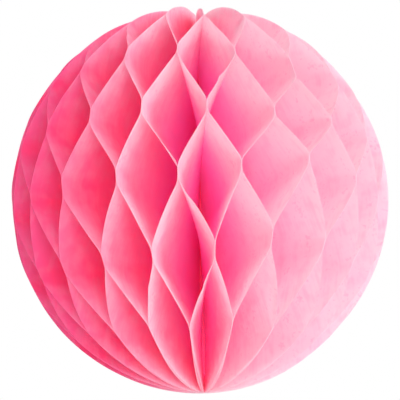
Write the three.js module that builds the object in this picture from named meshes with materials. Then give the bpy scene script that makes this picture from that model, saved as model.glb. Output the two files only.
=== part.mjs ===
// Honeycomb paper ball: half-round tissue leaves, bound along their straight edges into a spine,
// glued to one another along level lines that alternate from leaf to leaf, fanned open through a
// full turn and closed by two stiff end cards that are stuck back to back.
// Millimetres, +Z up along the spine, origin at the middle of the ball, end cards at the back (+Y).
import * as THREE from "three";

// Driving dimensions
const ballDiameter = 200;
const leafCount = 44;
const leafThickness = 0.3;
const glueGap = 0.3; // glue between two leaves, between a leaf and a card, and between the two cards
const glueStripWidth = 8; // height of one glued strip
const gluePitch = 30.5; // from one glue line down to the next
const poleFlap = 25; // from the top pole down to the first glue line
const cardThickness = 0.5;
const poleTip = 3; // flat length of a card's end at the poles
const spineGap = 0.3; // between the binding and the leaves' inner edges

// Fineness of the facets
const foldRows = 2; // rows between two glued strips
const flapRows = 4; // rows between the last glued strip and the pole
const cardArcSegments = 36;
const bindingSides = 24;

// How far a fold departs from a straight slope towards a soft S, from 0 to 1
const foldSoftness = 0.5;

// Worked out from the above
const ballRadius = ballDiameter / 2;
const leafAngle = (2 * Math.PI) / leafCount;
const seamAngle = Math.PI / 2;
const leafClearance = (leafThickness + glueGap) / 2; // leaf's middle to the plane shared with the next
const cardClearance = leafClearance + cardThickness + glueGap; // the same, with a card in between
const leafInnerRadius = (2 * leafClearance) / Math.sin(leafAngle);
const cardInnerRadius = (leafClearance + cardClearance) / Math.sin(leafAngle);
const poleRadius = cardInnerRadius + poleTip;
const tipHeight = Math.sqrt(ballRadius ** 2 - poleRadius ** 2);

// Finishes
const tissue = new THREE.MeshStandardMaterial({ color: 0xf8709f, roughness: 0.9, metalness: 0 });
const card = new THREE.MeshStandardMaterial({ color: 0xf2689a, roughness: 0.75, metalness: 0 });
const binding = new THREE.MeshStandardMaterial({ color: 0xe94f86, roughness: 0.85, metalness: 0 });

// Heights of the glue lines, from the top down, as many as leave half a pitch free at the bottom pole
function glueLineHeights() {
  const count = 1 + Math.floor((ballDiameter - poleFlap - gluePitch / 2) / gluePitch);
  return Array.from({ length: count }, (_, line) => ballRadius - poleFlap - line * gluePitch);
}

// The leaf's cut edge: its distance from the spine at a height
function rimRadius(height) {
  return Math.sqrt(ballRadius ** 2 - height ** 2);
}

// A fold's course from one glued strip to the next, and how steep it is there, both as shares
function foldCourse(share) {
  const soft = THREE.MathUtils.smoothstep(share, 0, 1);
  return {
    done: THREE.MathUtils.lerp(share, soft, foldSoftness),
    steepness: THREE.MathUtils.lerp(1, 6 * share * (1 - share), foldSoftness),
  };
}

// Rows of one leaf from the top tip to the bottom tip. Turn is 1 where the leaf is glued to the next
// leaf, -1 where it is glued to the one before, and passes smoothly from one to the other between.
// Lean is the change of turn for each millimetre of height.
function leafRows(firstTurn) {
  const rows = [];
  const half = glueStripWidth / 2;
  const heights = glueLineHeights();
  const turnAt = (line) => (line % 2 === 0 ? firstTurn : -firstTurn);
  const flap = (stripEdge, end, turn) => {
    const from = Math.asin(stripEdge / ballRadius);
    const to = Math.asin(end / ballRadius);
    for (let i = 1; i <= flapRows; i++) {
      const height = ballRadius * Math.sin(THREE.MathUtils.lerp(from, to, i / flapRows));
      rows.push({ height, turn, lean: 0 });
    }
  };
  const lastLine = heights.length - 1;
  flap(heights[0] + half, tipHeight, turnAt(0));
  rows.reverse();
  heights.forEach((height, line) => {
    const turn = turnAt(line);
    rows.push({ height: height + half, turn, lean: 0 });
    rows.push({ height: height - half, turn, lean: 0 });
    if (line === lastLine) return;
    const foldHeight = gluePitch - glueStripWidth;
    for (let i = 1; i <= foldRows; i++) {
      const share = i / (foldRows + 1);
      const { done, steepness } = foldCourse(share);
      rows.push({
        height: height - half - share * foldHeight,
        turn: turn * (1 - 2 * done),
        lean: (2 * turn * steepness) / foldHeight,
      });
    }
  });
  flap(heights[lastLine] - half, -tipHeight, turnAt(lastLine));
  return rows;
}

// A point at a distance along the plane that stands at an angle round the spine, moved off that plane
function planePoint(angle, radius, offset, height) {
  return new THREE.Vector3(
    radius * Math.cos(angle) - offset * Math.sin(angle),
    radius * Math.sin(angle) + offset * Math.cos(angle),
    height,
  );
}

// Closed solid through a stack of rings with equally many corners. The first half of a ring's corners
// is one face of a sheet and the second half is the other, and both are cut along the same diagonals.
function loft(rings) {
  const corners = rings[0].length;
  const positions = rings.flatMap((ring) => ring.flatMap((point) => point.toArray()));
  const index = [];
  for (let ring = 0; ring < rings.length - 1; ring++) {
    for (let corner = 0; corner < corners; corner++) {
      const next = (corner + 1) % corners;
      const [a, b] = [ring * corners + corner, ring * corners + next];
      const [c, d] = [a + corners, b + corners];
      if (corner < corners / 2) index.push(a, c, d, a, d, b);
      else index.push(a, c, b, b, c, d);
    }
  }
  const last = (rings.length - 1) * corners;
  for (let near = 0; near < corners / 2 - 1; near++) {
    const far = corners - 1 - near;
    index.push(near, near + 1, far - 1, near, far - 1, far);
    index.push(last + near, last + far - 1, last + near + 1, last + near, last + far, last + far - 1);
  }
  const solid = new THREE.BufferGeometry();
  solid.setAttribute("position", new THREE.Float32BufferAttribute(positions, 3));
  solid.setIndex(index);
  solid.computeVertexNormals();
  return solid;
}

// One leaf, folded to and fro inside its own sector about local +X. A leaf beside an end card keeps
// clear of the card from the card's inner edge outwards.
function leafGeometry(firstTurn, { cardBefore = false, cardAfter = false } = {}) {
  const stations = (height) => {
    const inner = { radius: leafInnerRadius, before: leafClearance, after: leafClearance };
    const outward = {
      before: cardBefore ? cardClearance : leafClearance,
      after: cardAfter ? cardClearance : leafClearance,
    };
    const rim = { radius: rimRadius(height), ...outward };
    return cardBefore || cardAfter ? [inner, { radius: cardInnerRadius, ...outward }, rim] : [inner, rim];
  };
  const facePoint = ({ radius, before, after }, { height, turn, lean }, side) => {
    const slope = (radius * lean * leafAngle) / 2;
    const lift = (side * leafThickness * Math.hypot(1, slope)) / 2;
    const gluedBefore = planePoint(-leafAngle / 2, radius, before + lift, height);
    const gluedAfter = planePoint(leafAngle / 2, radius, lift - after, height);
    return gluedBefore.lerp(gluedAfter, (1 + turn) / 2);
  };
  const rings = leafRows(firstTurn).map((row) => {
    const line = stations(row.height);
    const back = line.map((station) => facePoint(station, row, -1));
    const front = line.map((station) => facePoint(station, row, 1)).reverse();
    return [...back, ...front];
  });
  return loft(rings);
}

// Stiff half-round card, flat in the seam's plane, that ends short of the spine so that it can hinge
function cardGeometry() {
  const tipAngle = Math.asin(tipHeight / ballRadius);
  const outline = new THREE.Shape();
  outline.moveTo(cardInnerRadius, -tipHeight);
  outline.lineTo(poleRadius, -tipHeight);
  outline.absarc(0, 0, ballRadius, -tipAngle, tipAngle, false);
  outline.lineTo(cardInnerRadius, tipHeight);
  outline.closePath();
  const settings = { depth: cardThickness, bevelEnabled: false, curveSegments: cardArcSegments };
  return new THREE.ExtrudeGeometry(outline, settings).rotateX(Math.PI / 2);
}

// Glued and sewn spine that holds the leaves' straight edges
function bindingGeometry() {
  const radius = leafInnerRadius - spineGap;
  return new THREE.CylinderGeometry(radius, radius, 2 * tipHeight, bindingSides).rotateX(Math.PI / 2);
}

function addLeaves(ball) {
  const leaves = new THREE.Group();
  const shapes = new Map();
  for (let leaf = 0; leaf < leafCount; leaf++) {
    const firstTurn = leaf % 2 === 0 ? -1 : 1;
    const beside = { cardBefore: leaf === 0, cardAfter: leaf === leafCount - 1 };
    const key = JSON.stringify([firstTurn, beside]);
    if (!shapes.has(key)) shapes.set(key, leafGeometry(firstTurn, beside));
    const mesh = new THREE.Mesh(shapes.get(key), tissue);
    mesh.name = `leaf_${String(leaf + 1).padStart(2, "0")}`;
    mesh.rotation.z = seamAngle + (leaf + 0.5) * leafAngle;
    leaves.add(mesh);
  }
  ball.add(leaves);
}

function addEndCards(ball) {
  const seam = new THREE.Group();
  seam.rotation.z = seamAngle;
  const shape = cardGeometry();
  const nearFaces = { end_card_first: glueGap / 2 + cardThickness, end_card_last: -glueGap / 2 };
  for (const [name, face] of Object.entries(nearFaces)) {
    const mesh = new THREE.Mesh(shape, card);
    mesh.name = name;
    mesh.position.y = face;
    seam.add(mesh);
  }
  ball.add(seam);
}

function addBinding(ball) {
  const mesh = new THREE.Mesh(bindingGeometry(), binding);
  mesh.name = "spine_binding";
  ball.add(mesh);
}

const ball = new THREE.Group();
addLeaves(ball);
addEndCards(ball);
addBinding(ball);

export default ball;
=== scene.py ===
import math

import bpy
import numpy as np
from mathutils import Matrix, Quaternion, Vector


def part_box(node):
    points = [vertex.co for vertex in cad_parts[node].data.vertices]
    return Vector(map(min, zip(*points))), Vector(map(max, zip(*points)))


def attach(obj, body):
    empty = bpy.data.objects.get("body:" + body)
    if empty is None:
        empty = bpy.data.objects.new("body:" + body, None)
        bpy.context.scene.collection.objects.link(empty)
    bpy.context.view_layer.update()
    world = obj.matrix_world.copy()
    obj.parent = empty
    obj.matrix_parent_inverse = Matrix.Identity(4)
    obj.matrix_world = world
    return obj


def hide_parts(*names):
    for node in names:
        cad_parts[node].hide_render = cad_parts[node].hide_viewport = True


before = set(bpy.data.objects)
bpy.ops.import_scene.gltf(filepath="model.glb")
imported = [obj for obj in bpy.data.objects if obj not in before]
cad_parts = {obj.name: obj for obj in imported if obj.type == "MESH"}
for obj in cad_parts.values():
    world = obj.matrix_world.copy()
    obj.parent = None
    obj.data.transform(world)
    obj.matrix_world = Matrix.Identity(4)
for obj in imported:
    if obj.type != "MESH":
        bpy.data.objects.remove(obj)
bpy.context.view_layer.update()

mm = 0.001

# the ball's own measures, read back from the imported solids
leafNames = sorted(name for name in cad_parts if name.startswith("leaf_"))
leafCount = len(leafNames)
leafAngle = 2 * math.pi / leafCount
seamAngle = math.pi / 2  # the end cards stand at the back, +Y
frontAngle = seamAngle + math.pi
ballRadius = max(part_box("end_card_first")[1])
print("ball radius", round(ballRadius / mm, 1), "mm,", leafCount, "leaves")


# colours and nodes

def linear(hexColour):
    parts = [int(hexColour[i:i + 2], 16) / 255 for i in (1, 3, 5)]
    return [c / 12.92 if c <= 0.04045 else ((c + 0.055) / 1.055) ** 2.4 for c in parts] + [1.0]


def addNode(tree, kind, settings=None, links=None):
    # a setting that isn't the node's own goes to the socket of that name or number
    node = tree.nodes.new(kind)
    for name, value in (settings or {}).items():
        if hasattr(node, str(name)):
            setattr(node, name, value)
        else:
            node.inputs[name].default_value = value
    for name, source in (links or {}).items():
        tree.links.new(source, node.inputs[name])
    return node


def newMaterial(name):
    material = bpy.data.materials.new(name)
    material.use_nodes = True
    tree = material.node_tree
    tree.nodes.clear()
    return material, tree


# places round the ball

def direction(around, above):
    # from the ball's middle: so far round to the right of the front, and so far up
    level = math.cos(above)
    return Vector((math.sin(around) * level, -math.cos(around) * level, math.sin(above)))


def pointAtBall(item, place):
    item.location = place
    item.rotation_mode = "QUATERNION"
    item.rotation_quaternion = (-place).to_track_quat("-Z", "Y")
    bpy.context.scene.collection.objects.link(item)


# camera: a close lens, a little below the ball's middle and left of its front pair of leaves

cameraSetup = {
    "distance": 4.29 * ballRadius,
    "below": math.radians(17.1),
    "leftOfFront": math.radians(3.67),
    "roll": math.radians(1.17),
    "ballInFrame": 0.955,  # the ball's outline as a share of the picture's width
}


def addCamera(setup):
    place = direction(-setup["leftOfFront"], -setup["below"]) * setup["distance"]
    outline = math.tan(math.asin(ballRadius / setup["distance"]))  # half the outline, seen one unit away
    data = bpy.data.cameras.new("photoCamera")
    data.lens = data.sensor_width / 2 * setup["ballInFrame"] / outline
    camera = bpy.data.objects.new("photoCamera", data)
    pointAtBall(camera, place)
    camera.rotation_quaternion = camera.rotation_quaternion @ Quaternion((0, 0, 1), -setup["roll"])
    bpy.context.scene.camera = camera
    print("camera at", [round(v, 3) for v in place], "lens", round(data.lens, 1))


addCamera(cameraSetup)


# stage: pale floor far below the hanging ball, white surroundings, and soft lamps from the front, the right
# and behind. Lengths are in metres and powers in watts.

stageSetup = {
    "floorDrop": 14.0 * ballRadius,
    "floorWidth": 60.0,
    "floorColour": "#F4F2F1",
    "floorRoughness": 0.9,
    "floorLift": 0.6,  # share of plain white that the camera sees in the floor
    "ambient": 0.54,   # strength of the surroundings as light on the ball
    "lampDistance": 2.4,
    "lampSize": 1.4,
    "lamps": (
        {"name": "frontLamp", "around": math.radians(11), "above": math.radians(-6), "power": 33.0},
        {"name": "rightLamp", "around": math.radians(50), "above": math.radians(4), "power": 22.0},
        {"name": "backLamp", "around": math.radians(172), "above": math.radians(44), "power": 32.0},
    ),
}


def seenDirectly(tree):
    # 1 for what the camera, a mirror or clear glass shows, 0 for light that falls on the paper or soaks
    # through it
    path = addNode(tree, "ShaderNodeLightPath")
    clear = addNode(tree, "ShaderNodeMath", {"operation": "SUBTRACT", "use_clamp": True},
                    {0: path.outputs["Is Transmission Ray"], 1: path.outputs["Is Diffuse Ray"]})
    mirrored = addNode(tree, "ShaderNodeMath", {"operation": "MAXIMUM"},
                       {0: path.outputs["Is Glossy Ray"], 1: clear.outputs[0]})
    seen = addNode(tree, "ShaderNodeMath", {"operation": "MAXIMUM"},
                   {0: path.outputs["Is Camera Ray"], 1: mirrored.outputs[0]})
    return seen.outputs[0]


def addFloor(setup):
    bpy.ops.object.select_all(action="DESELECT")
    bpy.ops.mesh.primitive_plane_add(size=setup["floorWidth"], location=(0, 0, -setup["floorDrop"]))
    floor = bpy.context.object
    floor.name = "paleFloor"
    # matt white paint: no gloss, so the floor only carries the ball's soft shadow
    material, tree = newMaterial("matt white paint")
    shade = addNode(tree, "ShaderNodeBsdfPrincipled",
                    {"Base Color": linear(setup["floorColour"]), "Roughness": setup["floorRoughness"]})
    lifted = addNode(tree, "ShaderNodeMath", {"operation": "MULTIPLY", 1: setup["floorLift"]},
                     {0: seenDirectly(tree)})
    white = addNode(tree, "ShaderNodeEmission", {"Strength": 1.0})
    pale = addNode(tree, "ShaderNodeMixShader",
                   links={0: lifted.outputs[0], 1: shade.outputs[0], 2: white.outputs[0]})
    addNode(tree, "ShaderNodeOutputMaterial", links={"Surface": pale.outputs[0]})
    floor.data.materials.append(material)


def addSurroundings(setup):
    world = bpy.data.worlds.new("white surroundings")
    bpy.context.scene.world = world
    world.use_nodes = True
    tree = world.node_tree
    tree.nodes.clear()
    strength = addNode(tree, "ShaderNodeMapRange", {"To Min": setup["ambient"], "To Max": 1.0},
                       {"Value": seenDirectly(tree)})
    glow = addNode(tree, "ShaderNodeBackground", {"Color": (1, 1, 1, 1)}, {"Strength": strength.outputs[0]})
    addNode(tree, "ShaderNodeOutputWorld", links={"Surface": glow.outputs[0]})


def addLamps(setup):
    for settings in setup["lamps"]:
        lamp = bpy.data.lights.new(settings["name"], "AREA")
        lamp.shape = "DISK"
        lamp.size = setup["lampSize"]
        lamp.energy = settings["power"]
        softbox = bpy.data.objects.new(settings["name"], lamp)
        pointAtBall(softbox, direction(settings["around"], settings["above"]) * setup["lampDistance"])


addFloor(stageSetup)
addSurroundings(stageSetup)
addLamps(stageSetup)
bpy.context.scene.view_settings.view_transform = "Standard"
print("stage set")


# tissue paper: thin, soft, unglazed, dyed through. Light goes through it about as readily as it comes
# back, so the depth of a cell glows a strong pink. Light and shade are painted into the dye: the sheets
# towards the right are painted pale as if lit strongly from that side, elsewhere the cut rims are painted
# paler, and a paler colour is painted deep in the cells against the shade there.

tissueSetup = {
    "dye": "#FE66A3",
    # painted light: the pale colour that the painted light mixes into the dye
    "paintedLightDye": "#FFE3EF",
    # painted light deep in the cells: a paler colour that lifts the shade there
    "paintedDepthDye": "#FCB0F2",
    "through": "#FFC0E3",
    # painted light in what the sheet lets through: the pale colour on the right and at the rims, then the
    # paler colour deep in the cells
    "paintedLightThrough": "#FFF8FA",
    "paintedDepthThrough": "#FFE9FF",
    "throughShare": 0.6,    # of each face of the sheet; the sheet as a whole lets 0.4 through
    "roughness": 0.85,
    "ior": 1.4,
    "specular": 0.25,       # less than the IOR alone gives, because the surface is loose fibre
    "cloudSize": 6.0 * mm,  # where the pulp lies thicker
    "cloudRange": (0.5, 1.0),
    "cloudShare": 0.16,
    "streakWidth": 1.5 * mm,  # along the sheet's run through the machine
    "streakLength": 18.0 * mm,
    "streakWeight": 0.5,
    "streakApart": 90.0,    # from one leaf's part of the streaks to the next
    "fibreSize": 1.3 * mm,  # real fibres are about 0.03 mm, and are drawn this coarse so that they show
    "fibreWeight": 0.5,
    "fibreBump": 0.25,
    "fibreHeight": 0.1 * mm,
    "markRange": (0.87, 0.99),
    "markShare": 0.3,       # faint random marks, where the painted light is less pale
}

# painted light and shade, worked out for each point of the leaves and kept on them as attributes
paintedLightSetup = {
    "paintedLightAround": math.radians(75),  # where the painted light comes from, to the right of the front
    "roundness": 0.5,       # how much less the light's side counts towards the poles, 1 as on a solid ball
    "fromBelow": 0.08,      # painted light from below, as from the floor, which makes the underside a little paler
    "sheetFrom": -0.66,     # whole sheets start to take the painted light, and are palest, this far round to its side
    "sheetTo": 0.6,
    "sheetShare": 0.97,
    # painted light and shade in patches: painted light makes a paler patch above the middle of the front,
    # and painted shade a stronger pink one below it
    "paintedLightPatches": (
        {"around": math.radians(7), "above": math.radians(12), "spread": 0.4, "share": 0.32},
        {"around": math.radians(4), "above": math.radians(-46), "spread": 0.25, "share": -0.2},
    ),
    "rimDepth": 13.0 * mm,  # painted light on the rims makes them paler still, most on sheets with half the painted light
    "rimShare": 0.45,
    "rimLeast": 0.05,
    "deepFrom": 12.0 * mm,  # the paler painted colour deep in the cells, lifting the shade there, starts and is full this far in from the rim
    "deepTo": 55.0 * mm,
    "deepShare": 0.73,
    "deepLossFrom": 0.75,   # on the palest sheets less of that painted colour deep in the cells, so their painted light shows there too
    "deepLoss": 0.75,
}


def ramp(value, start, end):
    return np.clip((value - start) / (end - start), 0, 1)


def smooth(share):
    return share ** 2 * (3 - 2 * share)


# painted light and shade: how pale each point is painted, as if lit from the right and more at the rims,
# and how much of the paler painted colour deep in the cells it takes
def paintLightAndShade(around, latitude, rimDistance, setup):
    fromFront = around - frontAngle
    facing = np.cos(fromFront - setup["paintedLightAround"]) * np.cos(latitude) ** setup["roundness"]
    facing = facing + setup["fromBelow"] * np.sin(-latitude)
    turned = ramp(facing, setup["sheetFrom"], setup["sheetTo"])
    sheet = setup["sheetShare"] * smooth(turned)
    # painted patches of light and shade
    for patch in setup["paintedLightPatches"]:
        apart = (fromFront - patch["around"]) ** 2 + (latitude - patch["above"]) ** 2
        sheet = sheet + patch["share"] * np.exp(-apart / patch["spread"] ** 2)
    # painted light along the cut rims
    rim = setup["rimShare"] * np.exp(-(rimDistance / setup["rimDepth"]) ** 2)
    halfPaintedLight = setup["rimLeast"] + (1 - setup["rimLeast"]) * np.sin(math.pi * turned)
    paintedLight = np.clip(sheet + rim * halfPaintedLight, 0, 1)
    # the paler painted colour deep in the cells, less of it on the palest sheets
    inside = smooth(ramp(rimDistance, setup["deepFrom"], setup["deepTo"]))
    kept = 1 - setup["deepLoss"] * ramp(turned, setup["deepLossFrom"], 1)
    return paintedLight, setup["deepShare"] * inside * kept


def tissueMaterial(setup):
    material, tree = newMaterial("dyed tissue paper")
    place = addNode(tree, "ShaderNodeAttribute", {"attribute_name": "sheetPlace"})
    paintedLight = addNode(tree, "ShaderNodeAttribute", {"attribute_name": "paintedLight"})
    paintedDepthLight = addNode(tree, "ShaderNodeAttribute", {"attribute_name": "paintedDepthLight"})

    # clouds and streaks in the pulp
    cloud = addNode(tree, "ShaderNodeTexNoise", {"Scale": 1 / setup["cloudSize"], "Detail": 2.0},
                    {"Vector": place.outputs["Vector"]})
    streakScale = (1 / setup["streakWidth"], 1 / setup["streakLength"], setup["streakApart"])
    stretched = addNode(tree, "ShaderNodeMapping", {"Scale": streakScale},
                        {"Vector": place.outputs["Vector"]})
    streak = addNode(tree, "ShaderNodeTexNoise", {"Scale": 1.0, "Detail": 1.0},
                     {"Vector": stretched.outputs[0]})
    mottled = addNode(tree, "ShaderNodeMath", {"operation": "MULTIPLY_ADD", 1: setup["streakWeight"]},
                      {0: streak.outputs[0], 2: cloud.outputs[0]})
    cloudLow, cloudHigh = setup["cloudRange"]
    clouding = addNode(tree, "ShaderNodeMapRange",
                       {"From Min": cloudLow, "From Max": cloudHigh,
                        "To Min": -setup["cloudShare"], "To Max": setup["cloudShare"]},
                       {"Value": mottled.outputs[0]})

    # faint random marks in the painted light, only where there is painted light
    fibre = addNode(tree, "ShaderNodeTexNoise", {"Scale": 1 / setup["fibreSize"], "Detail": 1.0},
                    {"Vector": place.outputs["Vector"]})
    grain = addNode(tree, "ShaderNodeMath", {"operation": "MULTIPLY_ADD", 1: setup["fibreWeight"]},
                    {0: fibre.outputs[0], 2: cloud.outputs[0]})
    markLow, markHigh = setup["markRange"]
    marks = addNode(tree, "ShaderNodeMapRange",
                    {"From Min": markLow, "From Max": markHigh,
                     "To Min": 1.0, "To Max": 1 - setup["markShare"]},
                    {"Value": grain.outputs[0]})
    paintedLightMarked = addNode(tree, "ShaderNodeMath", {"operation": "MULTIPLY"},
                     {0: paintedLight.outputs["Fac"], 1: marks.outputs[0]})
    # the share of painted light, with the pulp's clouds added
    paintedLightMix = addNode(tree, "ShaderNodeMath", {"operation": "ADD", "use_clamp": True},
                   {0: paintedLightMarked.outputs[0], 1: clouding.outputs[0]})

    # what the sheet returns, and what it lets through
    colours = []
    # each colour: the dye, mixed with the pale painted light, then with the paler painted colour deep in
    # the cells
    for plainKey, pale, inside in (("dye", "paintedLightDye", "paintedDepthDye"), ("through", "paintedLightThrough", "paintedDepthThrough")):
        outer = addNode(tree, "ShaderNodeMix",
                        {"data_type": "RGBA", 6: linear(setup[plainKey]), 7: linear(setup[pale])},
                        {0: paintedLightMix.outputs[0]})
        whole = addNode(tree, "ShaderNodeMix", {"data_type": "RGBA", 7: linear(setup[inside])},
                        {0: paintedDepthLight.outputs["Fac"], 6: outer.outputs[2]})
        colours.append(whole.outputs[2])
    returned, letThrough = colours
    bump = addNode(tree, "ShaderNodeBump",
                   {"Strength": setup["fibreBump"], "Distance": setup["fibreHeight"]},
                   {"Height": fibre.outputs[0]})
    front = addNode(tree, "ShaderNodeBsdfPrincipled",
                    {"Roughness": setup["roughness"], "IOR": setup["ior"],
                     "Specular IOR Level": setup["specular"]},
                    {"Base Color": returned, "Normal": bump.outputs[0]})
    through = addNode(tree, "ShaderNodeBsdfTranslucent",
                      links={"Color": letThrough, "Normal": bump.outputs[0]})
    sheet = addNode(tree, "ShaderNodeMixShader", {0: setup["throughShare"]},
                    {1: front.outputs[0], 2: through.outputs[0]})
    addNode(tree, "ShaderNodeOutputMaterial", links={"Surface": sheet.outputs[0]})
    return material


# tissue leaves: one flat half-round sheet is modelled, copied for each leaf, and folded in its sector

leafSetup = {
    "columns": 26,
    "rows": 144,
    "crowding": 1.4,                # closer columns towards the rim, 1 for even ones
    "thickness": 0.09 * mm,
    "sharpEdge": math.radians(60),  # the cut edges stay sharp, and the folds soft
    "innerRadius": 5.02 * mm,       # the bound edge, and the bare tips past the ends of the spine
    "tipInnerRadius": 1.3 * mm,
    "boundHeight": 93.0 * mm,       # where the one passes into the other, over the neck
    "neck": 2.0 * mm,
    "poleRadius": 3.0 * mm,
    "taller": 0.012,                # the opened ball stands a little taller than it is wide
    "glueClearance": 0.07 * mm,     # a leaf's middle to the plane that it shares with the next
    "cardClearance": 0.75 * mm,     # the same, where an end card lies between
    "cardInner": 9.8 * mm,
    "firstLine": 77.8 * mm,
    "gluePitch": 31.6 * mm,
    "glueLines": 6,
    "stripHeight": 2.8 * mm,
    "foldSoftness": 0.13,           # share of a fold's height that is rounded at each end
    "angleSpread": math.radians(0.6),  # how uneven the glue spots are: round, up, and in strip height
    "heightSpread": 1.2 * mm,
    "stripSpread": 0.5,
    "topRise": 1.2 * mm,            # the flaps round the top pole stand up a little
    "topRiseReach": 45.0 * mm,
    "flapLean": math.radians(1.6),  # free ends at the poles lean aside, and the two of a pair spring apart
    "flapSpring": math.radians(1.4),
    "flapCurl": 1.5,                # 1 for an even lean, more where the lean grows towards the tip
    "wave": 0.4 * mm,               # ripples in the free paper
    "waveHeight": 7.0 * mm,
    "waveOut": 16.0 * mm,
    "waveTurns": (2.1, 1.3),        # shift from leaf to leaf, up and outward
    "creases": 12,                  # on each leaf, lying at these shares of the way out and up
    "creaseOut": (0.5, 0.98),
    "creaseAbove": (-0.8, 0.8),
    "creaseDepth": 0.9 * mm,
    "creaseWidth": 1.7 * mm,
    "creaseLength": 16.0 * mm,
    "patternApart": 0.5,            # from one leaf's part of the paper's patterns to the next
    "seed": 12070,
}

# how the ball was opened: one column of cells stands wider, and the cells to its right are pressed
# together. Places are angles from the front and from the middle, and spreads are in radians.
openedSetup = {
    "wideAt": math.radians(16),
    "wideSpread": math.radians(17),
    "wideBy": math.radians(1.5),
    "pressedAt": math.radians(25),
    "pressedSpread": math.radians(16.5),
    "pressedHeight": 8.0 * mm,
    "pressedReach": 34.0 * mm,
    "pressedBy": 9.4 * mm,
    # flaps at the top: all those at the front raised, the foremost bent down, and its left neighbour
    # leaning over to it with its tip stood up
    "flaps": (
        {"around": 0.0, "spread": math.radians(45), "by": 4.0 * mm, "reach": 45.0 * mm, "lean": 0.0},
        {"around": 0.0, "spread": math.radians(5), "by": -6.5 * mm, "reach": 45.0 * mm,
         "lean": math.radians(-0.5)},
        {"around": math.radians(-17), "spread": math.radians(5), "by": -0.5 * mm, "reach": 45.0 * mm,
         "lean": math.radians(4.5)},
        {"around": math.radians(-17), "spread": math.radians(5), "by": 5.0 * mm, "reach": 14.0 * mm,
         "lean": 0.0},
    ),
    # two shallow dents, as shares of the ball's radius
    "dents": (
        {"around": math.radians(106), "above": math.radians(-42), "spread": 0.38, "depth": 0.03},
        {"around": math.radians(77), "above": math.radians(37), "spread": 0.35, "depth": 0.025},
    ),
}


def flatLeaf(setup):
    bpy.ops.object.select_all(action="DESELECT")
    bpy.ops.mesh.primitive_grid_add(x_subdivisions=setup["columns"], y_subdivisions=setup["rows"], size=1)
    leaf = bpy.context.object
    leaf.name = "flatLeaf"
    return leaf


def glueLevels(setup):
    return setup["firstLine"] - setup["gluePitch"] * np.arange(setup["glueLines"])


def pushAside(share):
    # nothing in the middle, full at one spread to either side, and nothing again further off
    return share * np.exp(0.5 - share ** 2 / 2)


def glueSpots(setup, opened):
    # where each pair of neighbours is stuck: plane by line, a little uneven as on a hand-opened ball
    draw = np.random.default_rng(setup["seed"])
    size = (leafCount + 1, setup["glueLines"])
    angle = seamAngle + leafAngle * np.arange(leafCount + 1)[:, None]
    angle = angle + draw.normal(0, setup["angleSpread"], size)
    fromFront = angle - frontAngle
    height = glueLevels(setup)[None, :]
    high = (height - opened["pressedHeight"]) / opened["pressedReach"]
    pressed = np.exp(-((fromFront - opened["pressedAt"]) / opened["pressedSpread"]) ** 2)
    height = height - opened["pressedBy"] * pressed * pushAside(high)
    aside = (fromFront - opened["wideAt"]) / opened["wideSpread"]
    angle = angle + opened["wideBy"] * pushAside(aside)
    height = height + draw.normal(0, setup["heightSpread"], size)
    half = setup["stripHeight"] / 2 * np.exp(draw.normal(0, setup["stripSpread"], size))
    lean = draw.normal(0, setup["flapLean"], (leafCount + 1, 2))
    # the first and the last plane are the seam, where the cards stand straight
    angle[0] = seamAngle
    angle[-1] = seamAngle + 2 * math.pi
    height[-1] = height[0]
    half[-1] = half[0]
    lean[[0, -1]] = 0
    return {"angle": angle, "height": height, "half": half, "lean": lean}


def sheetPoints(mesh, setup):
    # each point's share of the way out to the rim, and its row's latitude on the ball
    flat = np.empty(len(mesh.vertices) * 3)
    mesh.vertices.foreach_get("co", flat)
    across = flat.reshape(-1, 3)[:, 0] + 0.5
    up = flat.reshape(-1, 3)[:, 1] + 0.5
    tipLatitude = math.acos(setup["poleRadius"] / ballRadius)
    return across, (2 * up - 1) * tipLatitude


def cutRim(latitude, number, setup, opened):
    # the rim's height and its distance from the spine
    size = 1 + setup["taller"] * (2 * np.sin(latitude) ** 2 - 1)
    middle = leafAngle * (number + 0.5) - math.pi
    for dent in opened["dents"]:
        sideways = (middle - dent["around"]) * math.cos(dent["above"])
        apart = (latitude - dent["above"]) ** 2 + sideways ** 2
        size = size - dent["depth"] * np.exp(-apart / dent["spread"] ** 2)
    return ballRadius * size * np.sin(latitude), ballRadius * size * np.cos(latitude)


def topFlap(rim, fromFront, setup, opened):
    # how far the leaf's top stands up, and how far it leans aside
    rise = setup["topRise"] * np.exp(-(rim / setup["topRiseReach"]) ** 2)
    lean = 0.0
    for flap in opened["flaps"]:
        near = math.exp(-((fromFront - flap["around"]) / flap["spread"]) ** 2)
        rise = rise + near * flap["by"] * np.exp(-(rim / flap["reach"]) ** 2)
        lean = lean + near * flap["lean"]
    return rise, lean


def foldCourse(share, soft):
    # straight from strip to strip, with both ends rounded
    near = share ** 2
    far = (1 - share) ** 2
    bend = 2 * soft * (1 - soft)
    straight = (share - soft / 2) / (1 - soft)
    return np.where(share < soft, near / bend, np.where(share > 1 - soft, 1 - far / bend, straight))


def creaseOffset(radius, height, number, setup):
    # short ridges to either side, other ones on each leaf
    draw = np.random.default_rng((setup["seed"], number))
    offset = np.zeros_like(radius)
    for _ in range(setup["creases"]):
        out = draw.uniform(*setup["creaseOut"])
        above = draw.uniform(*setup["creaseAbove"])
        turn = draw.uniform(0, math.pi)
        depth = setup["creaseDepth"] * draw.normal()
        outFrom = radius - out * math.sqrt(1 - above ** 2) * ballRadius
        upFrom = height - above * ballRadius
        along = outFrom * math.cos(turn) + upFrom * math.sin(turn)
        aside = upFrom * math.cos(turn) - outFrom * math.sin(turn)
        ridge = np.exp(-abs(aside) / setup["creaseWidth"] - (along / setup["creaseLength"]) ** 2)
        offset = offset + depth * ridge
    return offset


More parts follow.
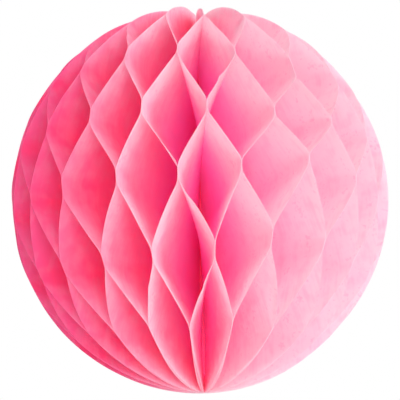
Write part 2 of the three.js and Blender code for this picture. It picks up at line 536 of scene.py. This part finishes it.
def foldLeaf(mesh, number, setup, opened, spots):
    across, latitude = sheetPoints(mesh, setup)
    height, rim = cutRim(latitude, number, setup, opened)

    # the leaf's own spots: on each line it is stuck to the next leaf, or to the one before
    lines = np.arange(setup["glueLines"])
    toNext = (lines + number) % 2 == 1
    plane = number + toNext.astype(int)
    besideCard = (plane == 0) | (plane == leafCount)
    side = np.where(toNext, -1.0, 1.0)
    spotAngle = spots["angle"][plane, lines]
    spotHalf = spots["half"][plane, lines]
    level = glueLevels(setup)
    shift = spots["height"][plane, lines] - level

    rise, topLean = topFlap(rim, spotAngle[0] - frontAngle, setup, opened)
    height = height + rise * (height > 0)
    pastSpine = ramp(abs(height), setup["boundHeight"], setup["boundHeight"] + setup["neck"])
    inner = setup["innerRadius"] + pastSpine * (setup["tipInnerRadius"] - setup["innerRadius"])
    outward = 1 - (1 - across) ** setup["crowding"]
    radius = inner + outward * (rim - inner)
    lineHeight = level[:, None] + shift[:, None] * radius / ballRadius
    besideRoom = ramp(radius, inner, setup["cardInner"]) * (setup["cardClearance"] - setup["glueClearance"])
    clear = setup["glueClearance"] + besideCard[:, None] * besideRoom

    # folds between the glued strips, and loose flaps past the last of them
    angle = np.full_like(radius, spotAngle[0])
    offset = side[0] * clear[0]
    free = np.zeros_like(radius)
    for line in lines[:-1]:
        below = line + 1
        share = ramp(height, lineHeight[line] - spotHalf[line], lineHeight[below] + spotHalf[below])
        course = foldCourse(share, setup["foldSoftness"])
        angle = angle + (spotAngle[below] - spotAngle[line]) * course
        offset = offset + (side[below] * clear[below] - side[line] * clear[line]) * course
        free = free + 4 * share * (1 - share)
    for end, sign, line, more in ((0, 1, 0, topLean), (1, -1, lines[-1], 0.0)):
        strip = sign * lineHeight[line] + spotHalf[line]
        loose = ramp(sign * height, strip, ballRadius) ** setup["flapCurl"]
        spring = 0.0 if besideCard[line] else side[line] * setup["flapSpring"]
        angle = angle + loose * (spots["lean"][plane[line], end] + more + spring)

    # ripples and creases, where the sheet is free
    upTurn, outTurn = setup["waveTurns"]
    ripple = np.sin(height / setup["waveHeight"] + number * upTurn)
    ripple = ripple * np.sin(radius / setup["waveOut"] + number * outTurn)
    offset = offset + setup["wave"] * free * (radius / ballRadius) ** 2 * ripple
    offset = offset + free * creaseOffset(radius, height, number, setup)

    folded = np.stack([radius * np.cos(angle) - offset * np.sin(angle),
                       radius * np.sin(angle) + offset * np.cos(angle), height], axis=1)
    mesh.vertices.foreach_set("co", folded.ravel())
    sheetPlace = np.stack([radius, height, np.full_like(radius, number * setup["patternApart"])], axis=1)
    places = mesh.attributes.new("sheetPlace", "FLOAT_VECTOR", "POINT")
    places.data.foreach_set("vector", sheetPlace.ravel())
    # painted light and shade, kept on the leaf for its material
    paintedLight, paintedDepthLight = paintLightAndShade(angle, latitude, rim - radius, paintedLightSetup)
    for name, shares in (("paintedLight", paintedLight), ("paintedDepthLight", paintedDepthLight)):
        mesh.attributes.new(name, "FLOAT", "POINT").data.foreach_set("value", shares)
    mesh.update()


def addLeaves(setup):
    tissue = tissueMaterial(tissueSetup)
    spots = glueSpots(setup, openedSetup)
    pattern = flatLeaf(setup)
    for number, node in enumerate(leafNames):
        leaf = pattern.copy()
        leaf.data = pattern.data.copy()
        leaf.name = "tissueLeaf_" + node[-2:]
        bpy.context.scene.collection.objects.link(leaf)
        foldLeaf(leaf.data, number, setup, openedSetup, spots)
        bpy.ops.object.select_all(action="DESELECT")
        leaf.select_set(True)
        bpy.context.view_layer.objects.active = leaf
        wall = leaf.modifiers.new("paper thickness", "SOLIDIFY")
        wall.thickness = setup["thickness"]
        wall.offset = 0
        bpy.ops.object.modifier_apply(modifier=wall.name)
        bpy.ops.object.shade_smooth_by_angle(angle=setup["sharpEdge"])
        leaf.data.materials.append(tissue)
        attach(leaf, "root")
        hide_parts(node)
    bpy.data.objects.remove(pattern)
    print(leafCount, "leaves folded")


addLeaves(leafSetup)


# end cards: two half-round boards, stuck back to back where the fan of leaves closes

cardSetup = {
    "thickness": 0.5 * mm,
    "glue": 0.2 * mm,
    "innerRadius": 9.8 * mm,
    "roundedEdge": 0.06 * mm,
    "arcPoints": 240,
    "sharpEdge": math.radians(30),
    "face": "#F7A3C0",
    "core": "#F3E3E4",
    "coreFrom": 0.25 * mm,  # the pulp starts to show, and shows fully, this far in from the rim
    "coreTo": 0.1 * mm,
    "roughness": 0.7,
    "ior": 1.45,
    "fibreSize": 0.7 * mm,  # real fibres are finer, and are drawn this coarse so that they show
    "fibreBump": 0.2,
    "fibreHeight": 0.05 * mm,
}


def cardMaterial(setup):
    # pink liner paper on grey-white pulp board: matt and opaque, with the pale pulp showing at the cut edge
    material, tree = newMaterial("lined pulp board")
    place = addNode(tree, "ShaderNodeTexCoord")
    fromMiddle = addNode(tree, "ShaderNodeVectorMath", {"operation": "LENGTH"},
                         {0: place.outputs["Object"]})
    cutEdge = addNode(tree, "ShaderNodeMapRange",
                      {"From Min": ballRadius - setup["coreFrom"],
                       "From Max": ballRadius - setup["coreTo"]},
                      {"Value": fromMiddle.outputs["Value"]})
    fibre = addNode(tree, "ShaderNodeTexNoise", {"Scale": 1 / setup["fibreSize"], "Detail": 3.0},
                    {"Vector": place.outputs["Object"]})
    board = addNode(tree, "ShaderNodeMix",
                    {"data_type": "RGBA", 6: linear(setup["face"]), 7: linear(setup["core"])},
                    {0: cutEdge.outputs[0]})
    bump = addNode(tree, "ShaderNodeBump",
                   {"Strength": setup["fibreBump"], "Distance": setup["fibreHeight"]},
                   {"Height": fibre.outputs[0]})
    shade = addNode(tree, "ShaderNodeBsdfPrincipled",
                    {"Roughness": setup["roughness"], "IOR": setup["ior"]},
                    {"Base Color": board.outputs[2], "Normal": bump.outputs[0]})
    addNode(tree, "ShaderNodeOutputMaterial", links={"Surface": shade.outputs[0]})
    return material


def addCards(setup):
    bpy.ops.object.select_all(action="DESELECT")
    bpy.ops.mesh.primitive_circle_add(vertices=setup["arcPoints"], radius=ballRadius, fill_type="NGON",
                                      rotation=(math.pi / 2, 0, seamAngle))
    first = bpy.context.object
    bpy.ops.object.transform_apply(location=True, rotation=True, scale=True)
    bpy.ops.object.mode_set(mode="EDIT")
    bpy.ops.mesh.select_all(action="SELECT")
    bpy.ops.mesh.bisect(plane_co=(0, setup["innerRadius"], 0), plane_no=(0, 1, 0), clear_inner=True)
    bpy.ops.object.mode_set(mode="OBJECT")
    board = first.modifiers.new("board thickness", "SOLIDIFY")
    board.thickness = setup["thickness"]
    board.offset = 0
    edge = first.modifiers.new("pressed edge", "BEVEL")
    edge.width = setup["roundedEdge"]
    edge.limit_method = "ANGLE"
    bpy.ops.object.modifier_apply(modifier=board.name)
    bpy.ops.object.modifier_apply(modifier=edge.name)
    first.data.materials.append(cardMaterial(setup))
    last = first.copy()
    last.data = first.data.copy()
    bpy.context.scene.collection.objects.link(last)
    aside = (setup["thickness"] + setup["glue"]) / 2
    for card, node, side in ((first, "end_card_first", -1), (last, "end_card_last", 1)):
        card.name = "endCard_" + node.split("_")[-1]
        card.location = (side * aside, 0, 0)
        bpy.ops.object.select_all(action="DESELECT")
        card.select_set(True)
        bpy.context.view_layer.objects.active = card
        bpy.ops.object.transform_apply(location=True, rotation=True, scale=True)
        bpy.ops.object.shade_smooth_by_angle(angle=setup["sharpEdge"])
        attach(card, "root")
        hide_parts(node)
    print("end cards cut")


addCards(cardSetup)


# spine: the leaves' straight edges, pinched and glued into one ribbed column that narrows at the poles

spineSetup = {
    "radius": 5.0 * mm,
    "groove": 0.03 * mm,
    "boundHeight": 92.0 * mm,
    "tipHeight": 96.0 * mm,
    "tipShare": 0.22,
    "sharpEdge": math.radians(30),
    "colour": "#FA5EA4",
    "dryRoughness": 0.75,
    "gluedRoughness": 0.5,
    "ior": 1.45,
    "glueRuns": 5.0 * mm,
    "glueBump": 0.3,
    "glueHeight": 0.1 * mm,
}


def spineMaterial(setup):
    # paper edges soaked with glue and dried: the same pink as the sheets, a little smoother, and opaque
    material, tree = newMaterial("glued tissue edges")
    place = addNode(tree, "ShaderNodeTexCoord")
    runs = addNode(tree, "ShaderNodeTexNoise", {"Scale": 1 / setup["glueRuns"], "Detail": 3.0},
                   {"Vector": place.outputs["Object"]})
    soaked = addNode(tree, "ShaderNodeMapRange",
                     {"To Min": setup["dryRoughness"], "To Max": setup["gluedRoughness"]},
                     {"Value": runs.outputs[0]})
    bump = addNode(tree, "ShaderNodeBump",
                   {"Strength": setup["glueBump"], "Distance": setup["glueHeight"]},
                   {"Height": runs.outputs[0]})
    shade = addNode(tree, "ShaderNodeBsdfPrincipled",
                    {"Base Color": linear(setup["colour"]), "IOR": setup["ior"]},
                    {"Roughness": soaked.outputs[0], "Normal": bump.outputs[0]})
    addNode(tree, "ShaderNodeOutputMaterial", links={"Surface": shade.outputs[0]})
    return material


def addSpine(setup):
    end = (0, 0, -setup["tipHeight"])
    bpy.ops.object.select_all(action="DESELECT")
    bpy.ops.mesh.primitive_circle_add(vertices=2 * leafCount, radius=setup["radius"], fill_type="NGON",
                                      location=end)
    spine = bpy.context.object
    spine.name = "boundSpine"
    bpy.ops.object.transform_apply(location=True, rotation=True, scale=True)
    bpy.ops.object.mode_set(mode="EDIT")
    bpy.ops.mesh.select_all(action="DESELECT")
    bpy.ops.object.mode_set(mode="OBJECT")
    for vertex in spine.data.vertices:
        vertex.select = vertex.index % 2 == 1  # a groove between each leaf's edge and the next
    bpy.ops.object.mode_set(mode="EDIT")
    ribbed = 1 - setup["groove"] / setup["radius"]
    tip = setup["tipShare"]
    bpy.ops.transform.resize(value=(ribbed, ribbed, 1), center_override=end)
    bpy.ops.mesh.select_all(action="SELECT")
    bpy.ops.transform.resize(value=(tip, tip, 1), center_override=end)
    neck = setup["tipHeight"] - setup["boundHeight"]
    for rise, share in ((neck, 1 / tip), (2 * setup["boundHeight"], 1), (neck, tip)):
        bpy.ops.mesh.extrude_region_move(TRANSFORM_OT_translate={"value": (0, 0, rise)})
        bpy.ops.transform.resize(value=(share, share, 1), center_override=(0, 0, 0))
    bpy.ops.mesh.select_all(action="SELECT")
    bpy.ops.mesh.normals_make_consistent(inside=False)
    bpy.ops.object.mode_set(mode="OBJECT")
    bpy.ops.object.shade_smooth_by_angle(angle=setup["sharpEdge"])
    spine.data.materials.append(spineMaterial(setup))
    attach(spine, "root")
    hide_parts("spine_binding")
    print("spine bound")


addSpine(spineSetup)

# light goes to and fro between the leaves many times before it leaves a cell
lightBounces = 128
bpy.context.scene.cycles.max_bounces = lightBounces
bpy.context.scene.cycles.diffuse_bounces = lightBounces
bpy.context.scene.cycles.transmission_bounces = lightBounces
